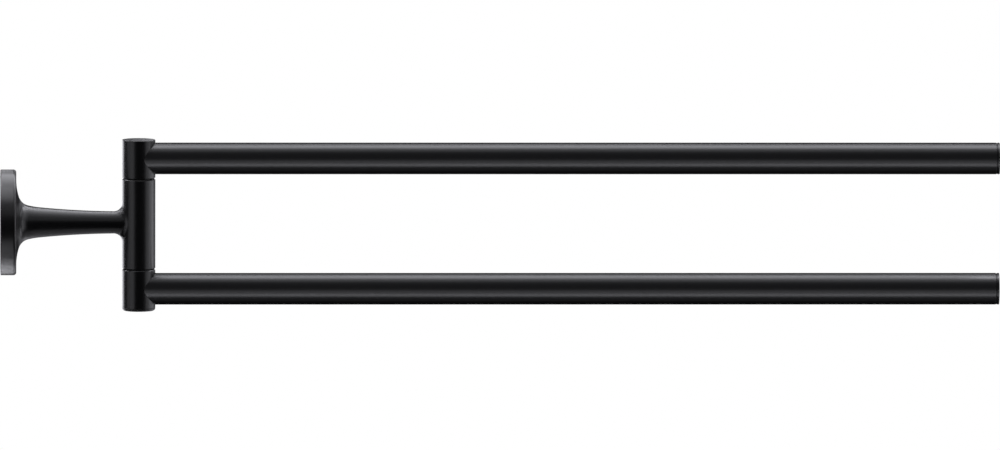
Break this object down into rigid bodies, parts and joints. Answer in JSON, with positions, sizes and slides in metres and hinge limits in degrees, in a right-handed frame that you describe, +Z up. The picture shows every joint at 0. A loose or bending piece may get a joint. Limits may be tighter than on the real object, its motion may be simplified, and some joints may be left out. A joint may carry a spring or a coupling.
{
  "type": "double towel bar",
  "caption": "Wall-mounted towel rail in matt black: a round rosette with a trumpet stem and a slim post, whose long round bars swing sideways about the post, each by itself.",
  "frame": {"origin": "centre of the wall plate's back face, on the wall", "axes": "+X out from the wall, along the stem and the bars at rest; +Z up along the post; +Y to the right of someone facing the wall"},
  "size_m": [0.433, 0.0458, 0.0743],
  "materials": {
    "black_coat": "satin powder coat",
    "plate_steel": "zinc plated",
    "bright_steel": "ground",
    "black_steel": "black oxide",
    "spring_steel": "oil tempered",
    "bush_plastic": "moulded acetal",
    "spigot_brass": "turned"
  },
  "bodies": {
    "bracket": {"wall_plate": "plate_steel", "bracket_casting": "black_coat", "rosette_grub_screw": "black_steel", "pivot_shaft": "bright_steel", "shaft_lock_screw": "black_steel", "upper_disc_spring": "spring_steel", "lower_disc_spring": "spring_steel"},
    "upper_arm": {"upper_hub": "black_coat", "upper_bush": "bush_plastic", "upper_hub_screw": "black_steel", "upper_spigot": "spigot_brass", "upper_bar": "black_coat", "upper_end_cap": "black_coat"},
    "lower_arm": {"lower_hub": "black_coat", "lower_bush": "bush_plastic", "lower_hub_screw": "black_steel", "lower_spigot": "spigot_brass", "lower_bar": "black_coat", "lower_end_cap": "black_coat", "lower_hub_cap": "black_coat"}
  },
  "joints": [
    {"name": "upper_arm_swing", "type": "hinge", "parent": "bracket", "child": "upper_arm", "pos_m": [0.06, 0, 0], "axis": [0, 0, 1], "range_deg": [-90, 90]},
    {"name": "lower_arm_swing", "type": "hinge", "parent": "bracket", "child": "lower_arm", "pos_m": [0.06, 0, 0], "axis": [0, 0, 1], "range_deg": [-90, 90]}
  ]
}
